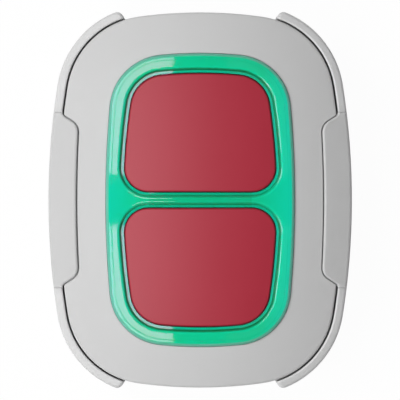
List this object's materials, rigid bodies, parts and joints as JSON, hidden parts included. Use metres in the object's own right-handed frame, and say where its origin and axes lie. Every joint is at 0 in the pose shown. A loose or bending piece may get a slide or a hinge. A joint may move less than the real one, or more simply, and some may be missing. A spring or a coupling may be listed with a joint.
{
  "type": "wireless panic button",
  "caption": "Pocket-size wireless panic button with two red push keys in a translucent green light band, clipped into a grey surface holder.",
  "frame": {"origin": "centre of the flat back of the holder", "axes": "+Z out of the front, +Y along the long side towards the upper key, +X to the right seen from the front"},
  "size_m": [0.038, 0.0472, 0.0177],
  "materials": {
    "holder_plastic": "fine matt moulded surface, light grey",
    "housing_plastic": "fine matt moulded surface, light grey",
    "seal_rubber": "smooth black rubber",
    "guide_plastic": "polished translucent green",
    "key_plastic": "satin crimson",
    "silicone": "translucent white silicone",
    "board_laminate": "green solder mask over glass laminate",
    "black_plastic": "matt black moulding",
    "plunger_plastic": "natural nylon",
    "nickel_steel": "nickel-plated steel",
    "contact_brass": "plated brass",
    "led_resin": "clear resin over a pale base",
    "capacitor_ceramic": "fired ceramic",
    "screw_steel": "zinc-plated steel"
  },
  "bodies": {
    "root": {"holder": "holder_plastic", "front_housing": "housing_plastic", "rear_housing": "housing_plastic", "housing_gasket": "seal_rubber", "light_guide": "guide_plastic", "upper_seal": "silicone", "lower_seal": "silicone", "circuit_board": "board_laminate", "upper_switch_body": "black_plastic", "lower_switch_body": "black_plastic", "coin_cell": "nickel_steel", "battery_clip": "nickel_steel", "negative_contact": "contact_brass", "radio_chip": "black_plastic", "crystal": "nickel_steel", "antenna": "contact_brass", "led_1": "led_resin", "led_2": "led_resin", "led_3": "led_resin", "led_4": "led_resin", "led_5": "led_resin", "led_6": "led_resin", "capacitor_1": "capacitor_ceramic", "capacitor_2": "capacitor_ceramic", "capacitor_3": "capacitor_ceramic", "housing_screw_1": "screw_steel", "housing_screw_2": "screw_steel", "housing_screw_3": "screw_steel", "housing_screw_4": "screw_steel"},
    "upper_key": {"upper_button": "key_plastic", "upper_switch_plunger": "plunger_plastic"},
    "lower_key": {"lower_button": "key_plastic", "lower_switch_plunger": "plunger_plastic"}
  },
  "joints": [
    {"name": "upper_press", "type": "slide", "parent": "root", "child": "upper_key", "axis": [0, 0, -1], "range_m": [0, 0.0004], "stiffness_N_per_m": 4000, "springref_m": -0.0005, "deforming": ["upper_seal"]},
    {"name": "lower_press", "type": "slide", "parent": "root", "child": "lower_key", "axis": [0, 0, -1], "range_m": [0, 0.0004], "stiffness_N_per_m": 4000, "springref_m": -0.0005, "deforming": ["lower_seal"]}
  ]
}
